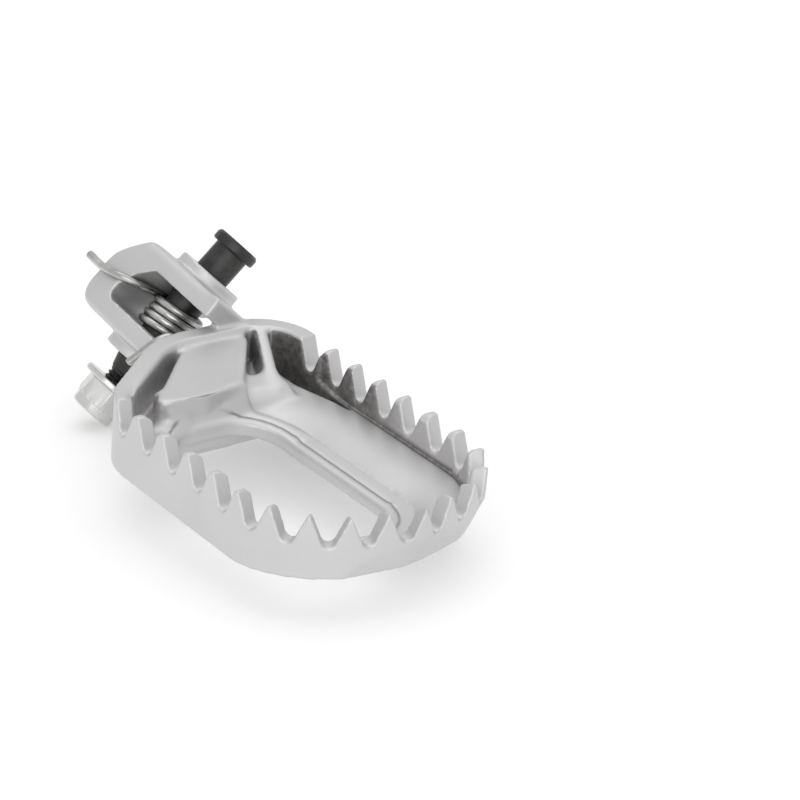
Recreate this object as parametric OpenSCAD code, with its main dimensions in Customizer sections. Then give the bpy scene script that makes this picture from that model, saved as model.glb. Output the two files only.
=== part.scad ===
// Folding motorcycle foot peg with its hinge pin, flange nut and return spring.
// Millimetres. The origin is on the pin axis, half way between the two lug bosses.
// +X points to the tip of the peg, +Y to the pin head side, +Z up from the tread.

/* [Tread ring] */
// Distance from the pin axis to the tip
tip_x = 105.4; // [101:0.2:110]
// Y of the long wall on the pin head side
wall_head_y = 15; // [14:0.5:17]
// Y of the long wall on the nut side
wall_nut_y = -40; // [-43:0.5:-38]
// Thickness of the ring wall under the teeth
wall_t = 3.4; // [3.2:0.1:3.8]
// Thickness of the plain rim at the hinge end
rim_t = 4.4; // [4.2:0.1:4.8]
// Height of the teeth above the valleys
tooth_h = 6.2; // [5.4:0.2:7]
// Radius at the bottom of each valley
valley_r = 1.45; // [1.2:0.05:1.5]
// Lean of each tooth flank in degrees
flank = 24; // [21:0.5:25]
// Depth of the wall below the valleys
wall_down = 8.4; // [7.6:0.2:9]

/* [Inner shelf] */
// Width of the shelf lip around the opening
lip_w = 5.4; // [5:0.2:5.8]
// Thickness of the shelf at its lip
shelf_t = 3.2; // [2.8:0.2:4]
// Height of the raised pad
pad_top = 4.8; // [4.2:0.2:5.4]

/* [Hinge] */
// Lean of the pin axis above the tread
pin_lean = 46.9; // [44:0.5:50]
// Swing of the pin axis toward the tip
pin_swing = 8.5; // [6:0.5:11]
// Half width of the fork over its lugs
fork_half = 10; // [9.6:0.2:10.6]
// Width of the slot between the lugs
slot_w = 10.7; // [10.2:0.1:11.2]
// Diameter of a lug boss
boss_d = 15.2; // [14:0.2:16.4]
// Height of a lug boss
boss_h = 2.5; // [2:0.1:3]

/* [Pin] */
// Shank diameter
shank_d = 8; // [7.6:0.1:8]
// Clearance between shank and bore on the radius
bore_gap = 0.05; // [0.03:0.01:0.08]
// Free room for the frame ear on the head side
head_room = 6.4; // [5.8:0.1:7]
// Free room for the frame ear on the nut side
nut_room = 5.9; // [5.5:0.1:6.5]
// Wire diameter of the return spring
wire_d = 1.8; // [1.6:0.1:1.9]

/* [Hidden] */
$fn = 96;
// how far a straight side lies inside its tangent, so that it crosses the round corner
tuck = 0.005;

// direction of the pin axis, and the two directions square to it
ax = [cos(pin_lean) * sin(pin_swing), cos(pin_lean) * cos(pin_swing), sin(pin_lean)];
back_raw = [-1, 0, 0] + ax[0] * ax;
back = back_raw / norm(back_raw);
top = cross(ax, back);
turn_x = atan2(top[2], ax[2]);
turn_y = -asin(back[2]);
turn_z = atan2(back[1], back[0]);

// stations along the pin axis
boss_face = fork_half + boss_h;
head_seat = boss_face + head_room;
head_end = head_seat + 2.5;
nut_seat = -(boss_face + nut_room);
shank_end = -(boss_face + 0.5);
thread_top = shank_end - 2.7;
pin_end = nut_seat - 7.5;
lug_r = 10.6;
bore_r = shank_d / 2 + bore_gap;
coil_r = shank_d / 2 + 0.12 + wire_d / 2;
coil_pitch = wire_d - 0.12;
coil_mid = -1.65;

// ring outline: circles joined by their outer tangents, counterclockwise
rings = [
    [44.6, wall_nut_y + 15.6, 15.6],
    [tip_x - 23, wall_nut_y + 21.2, 21.2],
    [tip_x - 9.6, -12.4, 9.6],
    [tip_x - 23.6, wall_head_y - 21.4, 21.4],
    [29.5, wall_head_y - 12, 12],
    [37.5, -9, 20]
];
hinge_x = 17.5;

// opening outline inside the shelf
holes = [
    [51.5, wall_nut_y + 15.4, 6.2],
    [tip_x - 23, wall_nut_y + 19.7, 10.4],
    [tip_x - 20.2, -16.4, 8.6],
    [55.5, -18, 10.2]
];

// outline of the raised pad
pads = [
    [40.8, -28.4, 1.8],
    [37.8, -20, 5.4],
    [38.4, -12, 3.4],
    [22.9, 1.4, 1.8],
    [23.5, -10.5, 2.4]
];

// normal angle of the tangent that leaves circle k
function gap_angle(c, k) = let (a = c[k], b = c[(k + 1) % len(c)], v = [b[0] - a[0], b[1] - a[1]])
    atan2(v[1], v[0]) - acos((a[2] - b[2]) / norm(v));
function gap_length(c, k) = let (a = c[k], b = c[(k + 1) % len(c)], v = [b[0] - a[0], b[1] - a[1]])
    sqrt(v * v - pow(a[2] - b[2], 2));
function on_circle(q, t, g) = [q[0] + (q[2] - g) * cos(t), q[1] + (q[2] - g) * sin(t)];

// station s along the ring outline, counted from the end of the first circle
function station(s, k) = let (
        q = rings[k],
        n = rings[(k + 1) % len(rings)],
        t = gap_angle(rings, k),
        l = gap_length(rings, k),
        turn = (gap_angle(rings, k + 1) - t + 720) % 360,
        arc = n[2] * turn * PI / 180
    )
    s < 0 ? concat(on_circle(q, t + s / q[2] * 180 / PI, 0), [t + s / q[2] * 180 / PI]) :
    s < l ? concat(on_circle(q, t, 0) + s * [-sin(t), cos(t)], [t]) :
    s < l + arc ? concat(on_circle(n, t + (s - l) / n[2] * 180 / PI, 0), [t + (s - l) / n[2] * 180 / PI]) :
    station(s - l - arc, k + 1);

valleys = 21;
first_s = -1.3;
head_wall_s = gap_length(rings, 0) + gap_length(rings, 1) + gap_length(rings, 2)
    + (rings[1][2] * ((gap_angle(rings, 1) - gap_angle(rings, 0) + 720) % 360)
    + rings[2][2] * ((gap_angle(rings, 2) - gap_angle(rings, 1) + 720) % 360)
    + rings[3][2] * ((gap_angle(rings, 3) - gap_angle(rings, 2) + 720) % 360)) * PI / 180;
last_s = head_wall_s + rings[3][0] - 34.7;
pitch = (last_s - first_s) / (valleys - 1);
// the teeth stand closer round the tip than along the long walls
function valley_s(i) = first_s + i * pitch
    + (i < 10 ? 2.1 * sin(18 * i) : i < 16 ? -1.2 * sin(30 * (i - 10)) : 0);

// region inside a loop of circles, moved in by g
module loop2d(c, g = 0) {
    n = len(c);
    polygon([for (k = [0 : n - 1]) each [
        on_circle(c[k], gap_angle(c, (k + n - 1) % n), g + tuck),
        on_circle(c[k], gap_angle(c, k), g + tuck)
    ]]);
    for (q = c) translate([q[0], q[1]]) circle(r = q[2] - g);
}

// stands the children in the hinge frame: X toward the motorcycle, Y up and back, Z along the pin
module on_pin() {
    rotate([turn_x, turn_y, turn_z]) children();
}

// straight wire from a to b with a round end at b
module wire(a, b) {
    v = b - a;
    translate(a) rotate([0, acos(v[2] / norm(v)), atan2(v[1], v[0])])
        cylinder(d = wire_d, h = norm(v), $fn = 32);
    translate(b) sphere(d = wire_d + 0.1, $fn = 32);
}

// slab across the whole ring whose side view is the polygon
module across(points) {
    rotate([90, 0, 0]) translate([0, 0, -60]) linear_extrude(height = 120) polygon(points);
}

// sloping cut that leans the outer wall in below the teeth, at one angle round a circle
module lean_cut(q, turn, lean) {
    translate([q[0] + q[2] * cos(turn), q[1] + q[2] * sin(turn), 0.6]) rotate([0, 0, turn])
        rotate([0, lean, 0]) translate([0, -40, -40]) cube([30, 80, 40]);
}

// tread ring with its inner shelf: a rail beside the wall and a lower lip round the opening
module tread() {
    difference() {
        intersection() {
            translate([0, 0, -20]) linear_extrude(height = 20 + tooth_h) loop2d(rings);
            across([
                [-40, -wall_down], [84, -wall_down], [tip_x + 5, -5.6], [tip_x + 5, 60], [-40, 60]
            ]);
        }
        // inside of the wall, thicker at the hinge end
        translate([0, 0, -1]) linear_extrude(height = 20) intersection() {
            loop2d(rings, wall_t);
            translate([38, -60]) square([90, 120]);
        }
        translate([0, 0, -1]) linear_extrude(height = 20) loop2d(rings, rim_t);
        // shallow channel between the wall and the rail
        translate([0, 0, -2]) linear_extrude(height = 20) difference() {
            loop2d(rings, rim_t - 0.2);
            loop2d(rings, rim_t + 1.4);
        }
        // lip, which falls from the hinge end to the long sides
        intersection() {
            translate([0, 0, -6]) linear_extrude(height = 26) loop2d(holes, -lip_w);
            across([[20, -0.9], [44, -0.9], [56, -3], [tip_x, -3], [tip_x, 30], [20, 30]]);
        }
        // thin groove that sets off the rim of the opening
        intersection() {
            translate([0, 0, -4]) linear_extrude(height = 24) difference() {
                loop2d(holes, -2.7);
                loop2d(holes, -1.9);
            }
            across([[20, -1.5], [44, -1.5], [56, -3.6], [tip_x, -3.6], [tip_x, 30], [20, 30]]);
        }
        // rail of the nut side, which falls steeply to the opening
        intersection() {
            translate([0, 0, -6]) linear_extrude(height = 26) loop2d(rings, wall_t + 0.2);
            translate([50, 0, 0]) rotate([90, 0, 90]) linear_extrude(height = 60) polygon([
                [-37, -0.9], [-31.6, -4.6], [-25, -4.6], [-22, 20], [-37, 20]
            ]);
        }
        translate([0, 0, -20]) linear_extrude(height = 40) loop2d(holes);
        // hollow below the shelf
        intersection() {
            translate([0, 0, -20]) linear_extrude(height = 19) loop2d(rings, rim_t);
            across([[43, -20], [43, -3.4 - shelf_t], [tip_x, -3 - shelf_t], [tip_x, -20]]);
        }
        // thin lip at the hinge end of the opening
        intersection() {
            translate([0, 0, -20]) linear_extrude(height = 19) loop2d(holes, -4);
            across([[43, -20], [43, -0.9 - shelf_t], [56, -6.8], [56, -20]]);
        }
        // deep trench between the rail and the head-side wall, narrowing toward the tip
        intersection() {
            translate([0, 0, -5]) linear_extrude(height = 20) loop2d(rings, rim_t - 0.1);
            translate([0, 0, -5]) linear_extrude(height = 20)
                polygon([[20, 6.8], [37, 6.8], [57, 11.3], [57, 14], [20, 14]]);
        }
        for (i = [0 : valleys - 1]) valley(valley_s(i));
        for (v = [[80, 10], [58, 17], [36, 20]]) lean_cut(rings[3], v[0], v[1]);
        for (v = [[16, 20], [-8, 14]]) lean_cut(rings[2], v[0], v[1]);
    }
}

// deep part of the wall beside the hinge on the head side
module stop_wall() {
    difference() {
        translate([0, 0, -17]) linear_extrude(height = 12) intersection() {
            difference() {
                loop2d(rings);
                loop2d(rings, rim_t);
            }
            translate([10, 4]) square([54, 20]);
        }
        translate([62, 0, -30.5]) rotate([-90, 0, 0]) cylinder(r = 22, h = 40);
        translate([52, -5, -30]) cube([20, 40, 18]);
    }
}

// steep apron before the pad, the low mound beside it, and the rib that falls from the rim
module deck() {
    intersection() {
        translate([0, 0, -8]) linear_extrude(height = 20) loop2d(rings, rim_t - 1);
        union() {
            translate([0, -9, 0]) rotate([90, 0, 0]) linear_extrude(height = 19.6) polygon([
                [36, -7], [36, 4.2], [41.4, 4.2], [44, -1.1], [44.2, -7]
            ]);
            translate([0, 3, 0]) rotate([90, 0, 0]) linear_extrude(height = 14) polygon([
                [33, -7], [33, 1.6], [39, 1.4], [43.8, -1.3], [44, -7]
            ]);
            translate([38.5, -0.4, 0]) rotate([0, 0, 156]) rotate([90, 0, 0]) translate([0, 0, -1.5])
                linear_extrude(height = 3) polygon([[-2, -7], [-2, 1], [17.5, 6], [17.5, -7]]);
        }
    }
}

// raised pad that follows the hinge end of the ring
module pad() {
    translate([0, 0, -7]) linear_extrude(height = 7 + pad_top) loop2d(pads);
}

// fork block with two lugs, before its bore
module fork() {
    difference() {
        intersection() {
            translate([0, 0, -fork_half]) linear_extrude(height = 2 * fork_half) {
                polygon([
                    [-24, -lug_r], [0, -lug_r], [lug_r * cos(50), -lug_r * sin(50)],
                    [10.9, -5.0], [16, 4], [17.8, 10.7], [-24, 10.7]
                ]);
                circle(r = lug_r);
            }
            rotate([90, 0, 0]) translate([0, 0, -20]) linear_extrude(height = 40) {
                polygon([
                    [-24, -fork_half], [13.5, -fork_half], [13.5, 4 - fork_half],
                    [17.5, 4 - fork_half], [18.5, 2], [18.5, fork_half], [-24, fork_half]
                ]);
                translate([13.5, 4 - fork_half]) circle(r = 4);
            }
        }
        rotate([0, 49.6, 32.9]) translate([-40, -40, 17.2]) cube([80, 80, 40]);
        // slot between the lugs, its back wall slanting toward the head side
        rotate([90, 0, 0]) translate([0, 0, -30]) linear_extrude(height = 60) {
            polygon([
                [-30, -slot_w / 2], [6.4, -slot_w / 2], [8.9, 2.5 - slot_w / 2],
                [6.5, 2.0], [2.2, slot_w / 2], [-30, slot_w / 2]
            ]);
            translate([6.4, 2.5 - slot_w / 2]) circle(r = 2.5);
        }
    }
    for (m = [-1, 1]) translate([0, 0, m > 0 ? fork_half - 1 : -boss_face])
        cylinder(d = boss_d, h = boss_h + 1);
}

// tool that cuts one valley across the wall
module valley(s) {
    f = station(s, 0);
    w = valley_r * cos(flank) - 0.06;
    z0 = valley_r * (1 - sin(flank));
    h = tooth_h + 3;
    translate([f[0], f[1], 0]) rotate([0, 0, f[2]]) translate([3, 0, 0]) rotate([90, 0, -90])
        linear_extrude(height = wall_t + 6) {
            translate([0, valley_r]) circle(r = valley_r);
            polygon([[-w, z0], [w, z0], [w + h * tan(flank), z0 + h], [-w - h * tan(flank), z0 + h]]);
        }
}

// the peg itself: ring, shelf, pad and fork in one casting
module peg_casting() {
    color([0.72, 0.72, 0.71]) difference() {
        union() {
            tread();
            stop_wall();
            deck();
            pad();
            intersection() {
                on_pin() fork();
                union() {
                    translate([-40, -60, -60]) cube([hinge_x + 42.5, 120, 120]);
                    translate([0, 0, -60]) linear_extrude(height = 59) loop2d(rings, 1);
                }
            }
        }
        on_pin() {
            translate([0, 0, -30]) cylinder(r = bore_r, h = 60);
            translate([0, 0, boss_face - 0.8]) cylinder(r1 = bore_r, r2 = bore_r + 1.6, h = 0.82);
            translate([0, 0, -boss_face - 0.02]) cylinder(r2 = bore_r, r1 = bore_r + 1.6, h = 0.82);
        }
    }
}

// stepped pin with a dished head and a threaded end
module hinge_pin() {
    color([0.2, 0.2, 0.21]) on_pin() rotate_extrude() polygon([
        [0, pin_end], [2.6, pin_end], [3, pin_end + 0.4], [3, thread_top], [3.2, thread_top],
        [shank_d / 2, shank_end], [shank_d / 2, head_seat], [4.9, head_seat], [5.25, head_seat + 0.35],
        [5.25, head_end - 0.6], [4.7, head_end], [4.0, head_end], [2.2, head_end - 0.8],
        [2.0, head_end - 2], [0, head_end - 2.3]
    ]);
}

// hex nut with a round flange and a collar
module flange_nut() {
    color([0.8, 0.8, 0.78]) on_pin() difference() {
        union() {
            translate([0, 0, nut_seat - 1.5]) cylinder(d = 14.2, h = 1.5);
            translate([0, 0, nut_seat - 6]) cylinder(r = 5 / cos(30), h = 5, $fn = 6);
            translate([0, 0, nut_seat - 8.2]) cylinder(r = 4.9, h = 3);
        }
        translate([0, 0, nut_seat - 9]) cylinder(r = 3, h = 10);
        translate([0, 0, nut_seat - 7.9]) cylinder(r = 4, h = 1.6);
        translate([0, 0, nut_seat - 9]) cylinder(r = 3.6, h = 1.2);
    }
}

// locking ring in the collar of the nut
module nut_lock_ring() {
    color([0.9, 0.9, 0.85]) on_pin() translate([0, 0, nut_seat - 7.9]) difference() {
        cylinder(r = 4, h = 1.6);
        translate([0, 0, -1]) cylinder(r = 3, h = 4);
    }
}

// torsion spring round the shank with two legs
module return_spring() {
    color([0.78, 0.78, 0.78]) on_pin() {
        translate([0, 0, coil_mid]) rotate_extrude() {
            for (i = [0 : 3]) translate([coil_r, (i - 1.5) * coil_pitch]) circle(d = wire_d, $fn = 32);
            translate([coil_r - 0.3, -1.5 * coil_pitch]) square([0.6, 3 * coil_pitch]);
        }
        head_leg = [[4.95, -0.6, coil_mid + 1.5 * coil_pitch], [6.3, 11.75, -0.1],
            [14, 11.75, -1.75], [20.6, 11.75, -1.6]];
        nut_leg = [[-3.3, -3.75, coil_mid - 1.5 * coil_pitch], [-13.9, 5.6, -2.8],
            [-15.5, 11.75, -2.2], [-12.4, 11.75, -12.4]];
        for (w = [head_leg, nut_leg]) for (i = [0 : len(w) - 2]) wire(w[i], w[i + 1]);
    }
}

peg_casting();
hinge_pin();
flange_nut();
nut_lock_ring();
return_spring();
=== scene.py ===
"""Folding foot peg: detailed casting, pin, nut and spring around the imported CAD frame."""
import math

import bmesh
import bpy
import numpy as np
from mathutils import Matrix, Vector


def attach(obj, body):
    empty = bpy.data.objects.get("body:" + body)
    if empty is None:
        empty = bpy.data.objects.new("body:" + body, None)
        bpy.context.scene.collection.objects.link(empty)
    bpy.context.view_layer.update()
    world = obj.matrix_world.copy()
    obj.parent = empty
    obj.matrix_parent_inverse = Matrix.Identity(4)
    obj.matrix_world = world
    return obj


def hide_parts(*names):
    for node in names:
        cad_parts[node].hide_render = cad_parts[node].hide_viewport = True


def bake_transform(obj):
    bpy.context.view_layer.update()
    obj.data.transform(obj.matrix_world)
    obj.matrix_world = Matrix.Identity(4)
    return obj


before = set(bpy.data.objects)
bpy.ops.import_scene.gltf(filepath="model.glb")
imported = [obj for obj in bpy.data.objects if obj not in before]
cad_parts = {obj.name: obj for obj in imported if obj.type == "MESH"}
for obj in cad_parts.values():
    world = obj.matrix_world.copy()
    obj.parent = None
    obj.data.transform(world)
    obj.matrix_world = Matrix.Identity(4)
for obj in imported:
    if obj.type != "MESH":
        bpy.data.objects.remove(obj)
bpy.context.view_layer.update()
MM = 0.001

# ---------------------------------------------------------------- pin axis
# BACK, TOP and AXIS are the pin's own frame; AXIS runs from the nut to the head
LEAN, SWING = math.radians(46.9), math.radians(8.5)
AXIS = Vector((math.cos(LEAN) * math.sin(SWING), math.cos(LEAN) * math.cos(SWING), math.sin(LEAN)))
BACK = (Vector((-1, 0, 0)) + AXIS[0] * AXIS).normalized()
TOP = AXIS.cross(BACK)

# sizes along and round the pin, in millimetres
SHANK_R = 4.0
BOSS = 12.5
HEAD_SEAT = BOSS + 6.4
NUT_SEAT = -(BOSS + 5.9)


def pin_point(back, top, along):
    """A point given in the pin's own frame, in millimetres, as a point in metres."""
    return (BACK * back + TOP * top + AXIS * along) * MM


# ---------------------------------------------------------------- node helpers
class Nodes:
    """Short way to build one material's node tree."""

    def __init__(self, name):
        self.mat = bpy.data.materials.new(name)
        self.mat.use_nodes = True
        self.tree = self.mat.node_tree
        self.bsdf = self.tree.nodes["Principled BSDF"]

    def add(self, kind, links=None, **values):
        node = self.tree.nodes.new(kind)
        for key, value in values.items():
            setattr(node, key, value)
        for key, value in (links or {}).items():
            self.put(node, key, value)
        return node

    def put(self, node, key, value):
        socket = node.inputs[key]
        if isinstance(value, bpy.types.NodeSocket):
            self.tree.links.new(value, socket)
        else:
            socket.default_value = value

    def coords(self):
        return self.add("ShaderNodeTexCoord").outputs["Object"]

    def noise(self, scale, detail, rough):
        values = {"Scale": scale, "Detail": detail, "Roughness": rough}
        node = self.add("ShaderNodeTexNoise", values)
        self.put(node, "Vector", self.coords())
        return node.outputs["Fac"]

    def ramp(self, fac, stops):
        node = self.add("ShaderNodeValToRGB", {"Fac": fac})
        while len(node.color_ramp.elements) < len(stops):
            node.color_ramp.elements.new(0.5)
        for element, (place, level) in zip(node.color_ramp.elements, stops):
            element.position = place
            element.color = (level, level, level, 1) if isinstance(level, float) else (*level, 1)
        return node.outputs["Color"]

    def mix(self, fac, a, b):
        node = self.add("ShaderNodeMix", data_type="RGBA")
        for index, value in ((0, fac), (6, a), (7, b)):
            socket = node.inputs[index]
            if isinstance(value, bpy.types.NodeSocket):
                self.tree.links.new(value, socket)
            elif isinstance(value, float):
                socket.default_value = value if index == 0 else (value, value, value, 1)
            else:
                socket.default_value = (*value, 1)
        return node.outputs[2]

    def math(self, operation, a, b):
        node = self.add("ShaderNodeMath", {0: a, 1: b}, operation=operation)
        return node.outputs[0]

    def span(self, value, low, high, out_low=0.0, out_high=1.0):
        node = self.add("ShaderNodeMapRange", {0: value, 1: low, 2: high, 3: out_low, 4: out_high})
        return node.outputs[0]

    def bump(self, height, distance, strength):
        values = {"Height": height, "Distance": distance, "Strength": strength}
        node = self.add("ShaderNodeBump", values)
        return node.outputs["Normal"]


# ---------------------------------------------------------------- materials
def cast_metal():
    """Satin cast metal, even on open faces, with painted shade in the recesses: dark, mottled and
    with a coarser bump there.
    """
    n = Nodes("satin_cast_steel")
    grain = n.noise(1500.0, 4.0, 0.7)
    coarse = n.noise(700.0, 5.0, 0.7)
    cloud = n.noise(45.0, 3.0, 0.5)
    recess_shade = n.add("ShaderNodeAttribute", attribute_name="recess_shade").outputs["Fac"]
    # painted shade: the mix below turns the base colour to a dark mottled tone in the recesses,
    # where shade falls
    shade_mask = n.span(n.math("ADD", recess_shade, n.math("MULTIPLY", coarse, 0.7)), 0.52, 1.05)
    pale = n.ramp(cloud, [(0.3, (0.585, 0.577, 0.578)), (0.7, (0.635, 0.627, 0.629))])
    shade_tone = n.ramp(coarse, [(0.38, (0.17, 0.167, 0.163)), (0.64, (0.34, 0.335, 0.33))])
    n.put(n.bsdf, "Base Color", n.mix(shade_mask, pale, shade_tone))
    n.put(n.bsdf, "Metallic", 0.78)
    n.put(n.bsdf, "Roughness", n.span(grain, 0.3, 0.7, 0.40, 0.52))
    height = n.mix(shade_mask, n.mix(0.5, grain, cloud), n.mix(0.6, grain, coarse))
    n.put(n.bsdf, "Normal", n.bump(height, 0.00014, 0.25))
    return n.mat


def black_oxide():
    """Black skin of the pin, a little brown where it is thin."""
    n = Nodes("black_oxide_steel")
    cloud = n.noise(260.0, 5.0, 0.6)
    grain = n.noise(2200.0, 3.0, 0.6)
    tone = n.ramp(cloud, [(0.3, (0.035, 0.035, 0.037)), (0.7, (0.075, 0.073, 0.070))])
    n.put(n.bsdf, "Base Color", tone)
    n.put(n.bsdf, "Metallic", 0.8)
    n.put(n.bsdf, "Roughness", n.span(cloud, 0.3, 0.7, 0.34, 0.5))
    n.put(n.bsdf, "Normal", n.bump(grain, 0.00004, 0.3))
    return n.mat


def bright_metal(name, low, high, rough_low, rough_high, scale, gap):
    """Bright metal with soft tone changes and painted shade in its crevices; gap is the reach of
    that painted shade.
    """
    n = Nodes(name)
    cloud = n.noise(scale, 3.0, 0.5)
    grain = n.noise(scale * 9, 3.0, 0.6)
    tone = n.ramp(cloud, [(0.35, low), (0.65, high)])
    crevice_shade = n.add("ShaderNodeAmbientOcclusion", {"Distance": gap}, samples=8).outputs["AO"]
    # painted shade: the base colour goes near black where the AO node finds a crevice
    n.put(n.bsdf, "Base Color", n.mix(n.span(crevice_shade, 0.75, 0.35), tone, (0.035, 0.034, 0.032)))
    n.put(n.bsdf, "Metallic", 1.0)
    n.put(n.bsdf, "Roughness", n.span(grain, 0.3, 0.7, rough_low, rough_high))
    n.put(n.bsdf, "Normal", n.bump(grain, 0.00002, 0.15))
    return n.mat


def nylon():
    """Pale plastic of the locking ring."""
    n = Nodes("moulded_nylon")
    cloud = n.noise(400.0, 3.0, 0.5)
    tone = n.ramp(cloud, [(0.3, (0.68, 0.67, 0.62)), (0.7, (0.76, 0.75, 0.70))])
    n.put(n.bsdf, "Base Color", tone)
    n.put(n.bsdf, "Roughness", n.span(cloud, 0.3, 0.7, 0.45, 0.6))
    n.bsdf.inputs["Subsurface Weight"].default_value = 0.1
    n.bsdf.inputs["Subsurface Scale"].default_value = 0.001
    return n.mat


CAST = cast_metal()
OXIDE = black_oxide()
ZINC = bright_metal("bright_zinc", low=(0.60, 0.60, 0.585), high=(0.70, 0.70, 0.685),
                    rough_low=0.22, rough_high=0.30, scale=120.0, gap=0.0006)
WIRE = bright_metal("drawn_spring_wire", low=(0.40, 0.40, 0.39), high=(0.58, 0.58, 0.57),
                    rough_low=0.2, rough_high=0.28, scale=260.0, gap=0.0011)
NYLON = nylon()


# ---------------------------------------------------------------- mesh helpers
def new_piece(name, verts, faces, material, smooth_angle):
    """A smooth-shaded object, with edges sharper than smooth_angle degrees kept sharp."""
    mesh = bpy.data.meshes.new(name)
    mesh.from_pydata([tuple(v) for v in verts], [], faces)
    mesh.update()
    bm = bmesh.new()
    bm.from_mesh(mesh)
    bmesh.ops.recalc_face_normals(bm, faces=bm.faces)
    bm.to_mesh(mesh)
    bm.free()
    piece = bpy.data.objects.new(name, mesh)
    bpy.context.scene.collection.objects.link(piece)
    mesh.materials.append(material)
    mesh.shade_smooth()
    mesh.set_sharp_from_angle(angle=math.radians(smooth_angle))
    return piece


def turned(rows, radius_at, steps):
    """Surface round the pin axis: rows of (radius, station), one ring of vertices each.

    A row of radius 0 is a single point. radius_at(index, angle) gives the radius and the
    station of a vertex in the row of that index.
    """
    verts, rings, faces = [], [], []
    for index, (radius, along) in enumerate(rows):
        if radius == 0:
            rings.append([len(verts)])
            verts.append(pin_point(0, 0, along))
            continue
        ring = []
        for k in range(steps):
            angle = 2 * math.pi * k / steps
            r, z = radius_at(index, angle)
            ring.append(len(verts))
            verts.append(pin_point(r * math.cos(angle), r * math.sin(angle), z))
        rings.append(ring)
    for low, high in zip(rings, rings[1:]):
        for k in range(steps):
            m = (k + 1) % steps
            if len(low) == 1:
                faces.append((low[0], high[k], high[m]))
            elif len(high) == 1:
                faces.append((low[k], low[m], high[0]))
            else:
                faces.append((low[k], low[m], high[m], high[k]))
    return verts, faces, rings


def rounded(profile, radii, parts=4):
    """Profile with the corners in radii, an index to size table, replaced by small arcs."""
    out = []
    for i, (r, z) in enumerate(profile):
        size = radii.get(i, 0)
        if not size or i in (0, len(profile) - 1):
            out.append((r, z))
            continue
        here = Vector((r, z))
        before = Vector(profile[i - 1]) - here
        after = Vector(profile[i + 1]) - here
        reach = min(size, before.length * 0.45, after.length * 0.45)
        a = here + before.normalized() * reach
        b = here + after.normalized() * reach
        for k in range(parts + 1):
            t = k / parts
            p = (1 - t) ** 2 * a + 2 * t * (1 - t) * here + t ** 2 * b
            out.append((p[0], p[1]))
    return out


# ---------------------------------------------------------------- casting
# circles whose outer tangents draw the ring and its opening: x, y, radius in mm
RING = ((44.6, -24.4, 15.6), (82.4, -18.8, 21.2), (95.8, -12.4, 9.6),
        (81.8, -6.4, 21.4), (29.5, 3.0, 12.0), (37.5, -9.0, 20.0))
OPENING = ((51.5, -24.6, 6.2), (82.4, -20.3, 10.4), (85.2, -16.4, 8.6), (55.5, -18.0, 10.2))
WALL, LIP = 3.4, 5.4
# how far the lip's thin groove runs from the edge of the opening
GROOVE_AT = 2.3
TOOTH_TOP = 6.2
# the tops of the teeth fall inside this distance from the outer face, by this much per mm squared
FALL_FROM, FALL_RATE = 1.3, 0.30
# height of the rail's crown, and how far its wall side and its lip side fall below that
CROWN_TOP, WALL_DROP, LIP_DROP = -0.8, 1.2, 2.2
# voxel of the even skin in metres, and how many of the relaxing passes are made
FINE_VOXEL, QUICK_VOXEL = 0.00036, 0.0006
FINE_SHARE, QUICK_SHARE = 1.0, 0.36


def depth_in(loop, x, y):
    """How far points lie inside a loop of circles; negative outside."""
    best = np.full(len(x), 1e9)
    half = 60
    for k in range(2 * half):
        c, s = math.cos(k * math.pi / half), math.sin(k * math.pi / half)
        reach = max(cx * c + cy * s + r for cx, cy, r in loop)
        best = np.minimum(best, reach - (x * c + y * s))
    return best


def ease(value, low, high):
    """Smooth step from 0 at low to 1 at high."""
    t = np.clip((value - low) / (high - low), 0, 1)
    return t * t * (3 - 2 * t)


def below(value, full, none):
    """Smooth step from 1 at full down to 0 at none."""
    return ease(-value, -none, -full)


def read_points(mesh):
    """The mesh's vertices in millimetres, one row each."""
    flat = np.empty(len(mesh.vertices) * 3, dtype=np.float32)
    mesh.vertices.foreach_get("co", flat)
    return flat.reshape(-1, 3).astype(float) / MM


def write_points(mesh, points):
    """Sets the mesh's vertices from rows of millimetres."""
    mesh.vertices.foreach_set("co", (points * MM).astype(np.float32).ravel())
    mesh.update()


def relax(points, edges, weight, passes):
    """Moves each point toward the mean of its neighbours, by its weight."""
    a, b = edges[:, 0], edges[:, 1]
    count = np.bincount(a, minlength=len(points)) + np.bincount(b, minlength=len(points))
    share = (0.5 * weight / np.maximum(count, 1))[:, None]
    for _ in range(passes):
        pull = np.empty_like(points)
        for axis in range(3):
            p = points[:, axis]
            pull[:, axis] = (np.bincount(a, p[b] - p[a], minlength=len(p))
                             + np.bincount(b, p[a] - p[b], minlength=len(p)))
        points = points + pull * share
    return points


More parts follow.
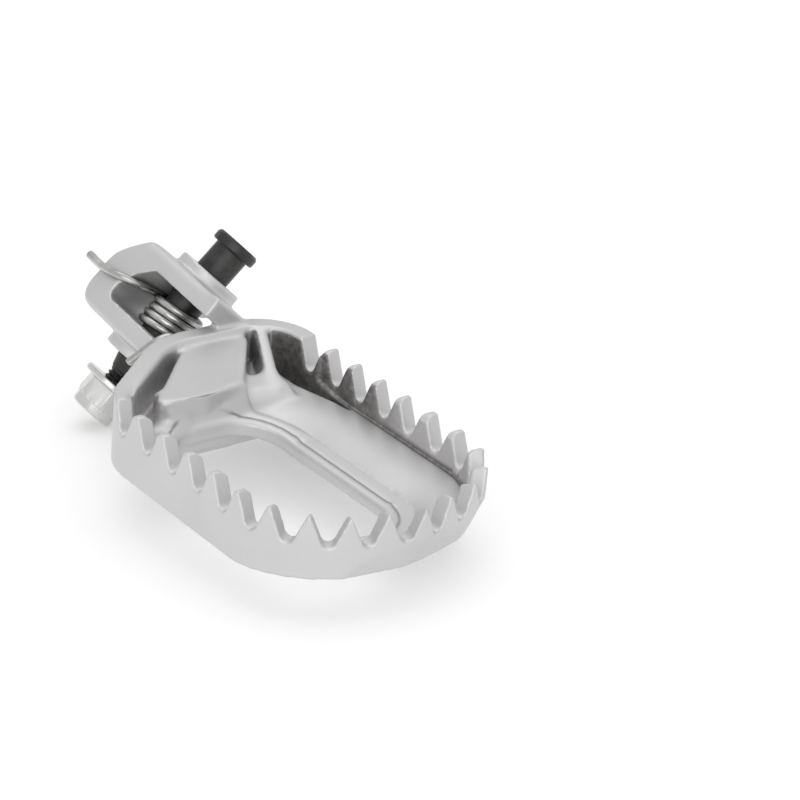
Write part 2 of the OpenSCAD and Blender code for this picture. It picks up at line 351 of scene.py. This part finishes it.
def paint_recess_shade(mesh, p):
    """Stores how much painted shade, dark and grainy, the skin gets at each point: 0 on open
    faces, 1 in the recesses, where shade falls.
    """
    x, y, z = p.T
    inner = depth_in(RING, x, y) - WALL
    beyond = -depth_in(OPENING, x, y)
    normal = np.empty(len(p) * 3, dtype=np.float32)
    mesh.vertices.foreach_get("normal", normal)
    ny, nz = normal.reshape(-1, 3).T[1:]
    head_side = ease(y, -2, 5)
    near_top = ease(nz, 0.3, 0.6)
    # each mask below paints shade into a recess, crease or groove where shade falls
    # inner face of the head-side wall
    wall = (ease(-ny, 0.3, 0.65) * head_side * ease(inner, -1.2, -0.6) * below(x, 46, 74)
            * below(z, 5.2, 5.9) * ease(x, 20, 23))
    # trench below that wall
    trench = (below(z, -3.2, -2.2) * head_side * below(x, 48, 58) * ease(inner, -0.2, 0.2)
              * ease(x, 18, 22))
    # painted shade in the crease along the foot of the wall
    wall_foot_shade = 0.9 * np.exp(-((inner - 0.4) / 0.7) ** 2) * below(z, -0.8, -0.2) * ease(y, -8, -2)
    # groove of the lip
    groove = 0.72 * np.exp(-((beyond - GROOVE_AT) / 0.33) ** 2) * near_top * ease(x, 38, 42)
    # soft dip between the lip and the rail
    valley = (0.20 * np.exp(-((beyond - 5.6) / 1.3) ** 2) * ease(nz, 0.0, 0.5)
              * ease(x, 46, 52) * ease(y, -10, -6))
    # channel round the pad: its sides, its floor, and the side of the rim
    gap = 0.22 * (ease(np.abs(0.9 - nz), 0.35, 0.6) * below(x, 35, 37) * ease(inner, 0.5, 1.1)
                  * ease(z, -1.4, -0.6) * ease(y, -15, -12))
    floor = (0.25 * below(z, -0.4, 0.2) * below(x, 33, 35) * ease(inner, 0.4, 0.9)
             * ease(nz, 0.3, 0.7))
    rim = (0.28 * ease(0.55 - nz, 0.0, 0.3) * below(x, 38, 42) * ease(inner, 0.2, 0.8)
           * ease(5.4 - z, 0, 0.5))
    value = np.max([wall, trench, wall_foot_shade, groove, valley, gap, floor, rim], axis=0)
    # the underside gets no painted shade
    value = np.clip(value, 0, 1) * ease(z, -9.0, -6.8) * ease(nz, -0.7, -0.4)
    layer = mesh.attributes.new("recess_shade", "FLOAT", "POINT")
    layer.data.foreach_set("value", value.astype(np.float32))


def casting():
    """The casting with an even skin, soft cast edges, a crowned rail and sloped teeth."""
    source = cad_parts["peg_casting"]
    mesh = source.data.copy()
    mesh.transform(source.matrix_world)
    piece = bpy.data.objects.new("peg_casting_body", mesh)
    bpy.context.scene.collection.objects.link(piece)
    remesh = piece.modifiers.new("even_skin", "REMESH")
    remesh.mode = "VOXEL"
    remesh.voxel_size = FINE_VOXEL
    graph = bpy.context.evaluated_depsgraph_get()
    done = bpy.data.meshes.new_from_object(piece.evaluated_get(graph))
    piece.modifiers.clear()
    piece.data = done
    share = FINE_SHARE

    pairs = np.empty(len(done.edges) * 2, dtype=np.int32)
    done.edges.foreach_get("vertices", pairs)
    pairs = pairs.reshape(-1, 2)
    p = relax(read_points(done), pairs, np.ones(len(done.vertices)), 3)

    x, y, z = p.T
    inner = depth_in(RING, x, y) - WALL
    beyond = -depth_in(OPENING, x, y)
    hinge = p @ np.array([[*BACK], [*TOP], [*AXIS]]).T
    back, top, along = hinge.T
    from_pin = np.hypot(back, top)

    # rail of the head side: crowned between the wall and the lip
    from_wall = np.clip(inner, 0, None)
    from_lip = np.clip(beyond - LIP, 0, None)
    across = from_wall / np.maximum(from_wall + from_lip, 0.1)
    crown = np.where(across < 0.5, CROWN_TOP - WALL_DROP * (1 - 2 * across) ** 2,
                     CROWN_TOP - LIP_DROP * (2 * across - 1) ** 2)
    on_rail = (ease(inner, -0.4, 0.1) * ease(beyond, LIP - 0.5, LIP) * ease(z, -3.0, -2.4)
               * below(z, -0.6, -0.2) * ease(x, 38, 48) * ease(y, -16, -8))
    p[:, 2] += (crown - z) * on_rail
    # tops of the teeth fall toward the inside
    fall = TOOTH_TOP - FALL_RATE * np.clip(inner + WALL - FALL_FROM, 0, None) ** 2
    toothed = ease(x, 30, 46) * ease(z, 3.5, 4.2) * below(inner, 0.0, 0.6)
    p[:, 2] += np.minimum(0, fall - p[:, 2]) * toothed

    # the weights below all come from the points as they are here
    # soft cast edges on the shelf and the pad, kept crisp at the thin groove
    crisp = 0.85 * below(np.abs(beyond - GROOVE_AT), 0.9, 1.6)
    shelf = ease(inner, 0.2, 1.0) * ease(x, 16, 19) * (1 - crisp)
    p = relax(p, pairs, shelf, int(22 * share))
    # rounded corners of the fork, away from its bosses and its slot
    ends = np.maximum(ease(np.abs(along), 7.6, 8.6), ease(back, 9.8, 11.0))
    ends = ends * ease(from_pin, 8.2, 9.2) * below(x, 16, 18.5)
    p = relax(p, pairs, ends, int(110 * share))
    # leaning wall round the tip
    tip = ease(x, 80, 88) * below(z, -2.2, -0.8) * ease(y, -16, -8) * below(inner, -1.5, -0.5)
    p = relax(p, pairs, tip, int(110 * share))
    # foot of the pad's corner beside the opening
    corner = np.hypot(x - 42.8, y + 27.6)
    foot = below(corner, 2.6, 4.6) * ease(z, -5.5, -4.5) * below(z, 1.2, 2.6)
    p = relax(p, pairs, foot, int(220 * share))
    write_points(done, p)
    paint_recess_shade(done, p)

    done.materials.clear()
    done.materials.append(CAST)
    done.shade_smooth()
    return piece


body = casting()
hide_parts("peg_casting")
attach(body, "peg")


# ---------------------------------------------------------------- pin
THREAD_PITCH, THREAD_CUT = 1.0, 0.5
THREAD_R, THREAD_ROWS = 2.98, 8


def thread_rows(top, bottom):
    """Rows along a thread, THREAD_ROWS to a turn; the pin's radius_at cuts its helix."""
    count = int((top - bottom) / THREAD_PITCH * THREAD_ROWS)
    return [(THREAD_R, top + (bottom - top) * k / count) for k in range(count + 1)]


def pin():
    """Dished head, shank, cone and threaded end, as one turned piece."""
    head_end = HEAD_SEAT + 2.5
    shank_end = -(BOSS + 0.5)
    thread_top, pin_end = shank_end - 2.7, NUT_SEAT - 7.5
    outline = [
        (0, head_end - 2.3), (1.9, head_end - 2.1), (2.1, head_end - 0.8), (4.0, head_end - 0.05),
        (4.7, head_end), (5.25, head_end - 0.6), (5.25, HEAD_SEAT + 0.3), (4.9, HEAD_SEAT),
        (SHANK_R, HEAD_SEAT), (SHANK_R, shank_end), (3.2, thread_top),
    ]
    corners = {1: 0.3, 2: 0.3, 3: 0.3, 4: 0.2, 5: 0.25, 6: 0.2, 8: 0.15, 9: 0.25, 10: 0.1}
    rows = rounded(outline, corners)
    plain = len(rows)
    rows += thread_rows(thread_top - 0.05, pin_end + 0.3)
    threaded = len(rows)
    rows += [(2.5, pin_end), (0, pin_end)]

    def radius_at(index, angle):
        r, z = rows[index]
        if plain <= index < threaded:
            turn = (z / THREAD_PITCH + angle / (2 * math.pi)) % 1.0
            cut = THREAD_CUT * (1 - abs(2 * turn - 1))
            fade = min(1.0, (index - plain) / 4)
            r = THREAD_R - cut * fade
        return r, z

    verts, faces = turned(rows, radius_at, 96)[:2]
    return new_piece("hinge_pin_body", verts, faces, OXIDE, 35)


pin_piece = pin()
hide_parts("hinge_pin")
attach(pin_piece, "pin")


# ---------------------------------------------------------------- nut
HALF_FLATS = 5.0


def nut():
    """Flange, hexagon and collar; rows run from the seat outward and back along the bore."""
    seat = NUT_SEAT
    rows = [
        (3.05, seat - 0.5), (3.5, seat), (6.9, seat - 0.05), (7.1, seat - 0.25),
        (7.1, seat - 1.0), (6.9, seat - 1.3), (5.9, seat - 1.55), (5.75, seat - 1.9),
        (5.75, seat - 5.2), (5.2, seat - 5.95), (4.95, seat - 6.05), (4.85, seat - 6.3),
        (4.85, seat - 7.5), (4.6, seat - 8.0), (4.2, seat - 8.2), (3.75, seat - 8.1),
        (3.6, seat - 7.8), (3.6, seat - 7.0), (3.05, seat - 6.9),
    ]
    hexed = range(6, 10)

    def radius_at(index, angle):
        r, z = rows[index]
        if index in hexed:
            sector = (angle + math.pi / 6) % (math.pi / 3) - math.pi / 6
            r = min(r, HALF_FLATS / math.cos(sector))
            r = max(r, HALF_FLATS)
        return r, z

    steps = 144
    verts, faces, rings = turned(rows, radius_at, steps)
    first, last = rings[0], rings[-1]
    for k in range(steps):
        m = (k + 1) % steps
        faces.append((last[k], last[m], first[m], first[k]))
    return new_piece("flange_nut_body", verts, faces, ZINC, 30)


nut_piece = nut()
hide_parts("flange_nut")
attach(nut_piece, "pin")


def lock_ring():
    """Plastic ring held in the nut's collar."""
    top, bottom = NUT_SEAT - 7.02, NUT_SEAT - 7.85
    rows = [(3.02, top), (3.02, bottom + 0.2), (3.2, bottom),
            (3.5, bottom), (3.58, bottom + 0.1), (3.58, top)]
    steps = 72
    verts, faces, rings = turned(rows, lambda index, angle: rows[index], steps)
    for k in range(steps):
        m = (k + 1) % steps
        faces.append((rings[-1][k], rings[-1][m], rings[0][m], rings[0][k]))
    return new_piece("nut_lock_ring_body", verts, faces, NYLON, 40)


ring_piece = lock_ring()
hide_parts("nut_lock_ring")
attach(ring_piece, "pin")


# ---------------------------------------------------------------- spring
# radius of the wire, and of the middle of the wire in the coil, in mm
WIRE_R = 0.9
COIL_R = SHANK_R + 0.12 + WIRE_R
# station of the coil at 0 degrees, its rise per turn, and the size and direction of its tilt
COIL_START, COIL_RISE = 1.21, 1.66
COIL_TILT, TILT_AT = 0.42, 225


def smooth_path(points):
    """Corner cutting, three times over, that keeps both ends."""
    for _ in range(3):
        out = [points[0]]
        for a, b in zip(points, points[1:]):
            out += [a * 0.75 + b * 0.25, a * 0.25 + b * 0.75]
        out.append(points[-1])
        points = out
    return points


def tube(name, points, radius, material):
    """Wire of round section along a path, without twist, its ends drawn in a little."""
    sides = 20
    verts, faces = [], []
    tangent = (points[1] - points[0]).normalized()
    side = tangent.orthogonal().normalized()
    count = len(points)
    sections = [(points[0] - tangent * radius * 0.3, tangent, 0.75 * radius)]
    for i, p in enumerate(points):
        a, b = points[max(i - 1, 0)], points[min(i + 1, count - 1)]
        sections.append((p, (b - a).normalized(), radius))
    end = sections[-1][1]
    sections.append((points[-1] + end * radius * 0.3, end, 0.75 * radius))
    for centre, direction, r in sections:
        side = (side - direction * side.dot(direction)).normalized()
        other = direction.cross(side)
        for k in range(sides):
            t = 2 * math.pi * k / sides
            verts.append(centre + (side * math.cos(t) + other * math.sin(t)) * r)
    for i in range(len(sections) - 1):
        for k in range(sides):
            m = (k + 1) % sides
            a, b = i * sides, (i + 1) * sides
            faces.append((a + k, a + m, b + m, b + k))
    faces.append(tuple(range(sides - 1, -1, -1)))
    last = (len(sections) - 1) * sides
    faces.append(tuple(range(last, last + sides)))
    return new_piece(name, verts, faces, material, 60)


def coil(radius, first, last):
    """Turns of the coil between two angles in degrees, tilted by the pull of the legs."""
    points = []
    steps = int((first - last) / 7.5)
    for k in range(steps + 1):
        turn = first + (last - first) * k / steps
        tilt = COIL_TILT * math.cos(math.radians(turn - TILT_AT))
        along = COIL_START + COIL_RISE * turn / 360 + tilt
        points.append(Vector((radius * math.cos(math.radians(turn)),
                              radius * math.sin(math.radians(turn)), along)))
    return points


turns = coil(COIL_R, 353.4, -1211.5)
head_leg = [Vector(p) for p in ((20.6, 11.75, -1.6), (14.0, 11.75, -1.75), (6.4, 11.75, -0.1))]
nut_leg = [Vector(p) for p in ((-13.9, 5.6, -2.8), (-15.5, 11.75, -2.2), (-12.4, 11.75, -12.4))]
path = smooth_path(head_leg + [turns[0]]) + turns[1:-1] + smooth_path([turns[-1]] + nut_leg)
spring_piece = tube("return_spring_body", [pin_point(*p) for p in path], WIRE_R * MM, WIRE)
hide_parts("return_spring")
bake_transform(spring_piece)

# ---------------------------------------------------------------- stage, light and camera
# up direction of the floor: the part rests tilted, on its nut
GROUND_UP = Vector((-0.0733, -0.0384, 0.9966)).normalized()
FLOOR_HALF, FLOOR_GAP = 6.0, 0.00005


def ground():
    """Plain pale floor just below the lowest point of the nut."""
    low = min(GROUND_UP.dot(v.co) for v in nut_piece.data.vertices)
    mesh = bpy.data.meshes.new("floor")
    right = GROUND_UP.orthogonal().normalized()
    front = GROUND_UP.cross(right)
    centre = GROUND_UP * (low - FLOOR_GAP)
    mesh.from_pydata([tuple(centre + right * a * FLOOR_HALF + front * b * FLOOR_HALF)
                      for a, b in ((-1, -1), (1, -1), (1, 1), (-1, 1))], [], [(0, 1, 2, 3)])
    floor = bpy.data.objects.new("floor", mesh)
    bpy.context.scene.collection.objects.link(floor)
    n = Nodes("pale_floor")
    n.put(n.bsdf, "Base Color", (0.70, 0.70, 0.70, 1))
    n.put(n.bsdf, "Emission Color", (1, 1, 1, 1))
    n.put(n.bsdf, "Emission Strength", 0.33)
    n.put(n.bsdf, "Roughness", 0.9)
    n.bsdf.inputs["Specular IOR Level"].default_value = 0.1
    mesh.materials.append(n.mat)


ground()


def soft_light(name, place, target, size, power):
    """Square area light facing its target."""
    data = bpy.data.lights.new(name, "AREA")
    data.shape, data.size, data.energy = "SQUARE", size, power
    lamp = bpy.data.objects.new(name, data)
    lamp.location = place
    lamp.rotation_euler = (Vector(target) - Vector(place)).to_track_quat("-Z", "Y").to_euler()
    bpy.context.scene.collection.objects.link(lamp)


LIT_POINT = (0.04, -0.01, 0.0)
soft_light("key", (-0.2, 0.1, 1.0), LIT_POINT, size=1.0, power=2.2)
soft_light("front", (0.8, -0.7, 0.55), LIT_POINT, size=1.0, power=3.2)

world = bpy.data.worlds.new("studio")
bpy.context.scene.world = world
world.use_nodes = True
sky = world.node_tree.nodes["Background"]
sky.inputs["Color"].default_value = (1, 1, 1, 1)
sky.inputs["Strength"].default_value = 0.80

# the photo's camera, as solved from the part and the floor
CAMERA_PLACE = Vector((0.49523, -0.33898, 0.26639))
CAMERA_AIM = Vector((0.05354, 0.02072, -0.00048))
CAMERA_ROLL = 5.616
CAMERA_LENS = 138.3

camera_data = bpy.data.cameras.new("camera")
camera = bpy.data.objects.new("camera", camera_data)
bpy.context.scene.collection.objects.link(camera)
bpy.context.scene.camera = camera
camera_data.sensor_width = 36.0
camera_data.lens = CAMERA_LENS
camera_data.clip_start = 0.01
look = (CAMERA_AIM - CAMERA_PLACE).to_track_quat("-Z", "Y").to_matrix().to_4x4()
roll = Matrix.Rotation(math.radians(CAMERA_ROLL), 4, "Z")
camera.matrix_world = Matrix.Translation(CAMERA_PLACE) @ look @ roll
bpy.context.scene.view_settings.view_transform = "Standard"
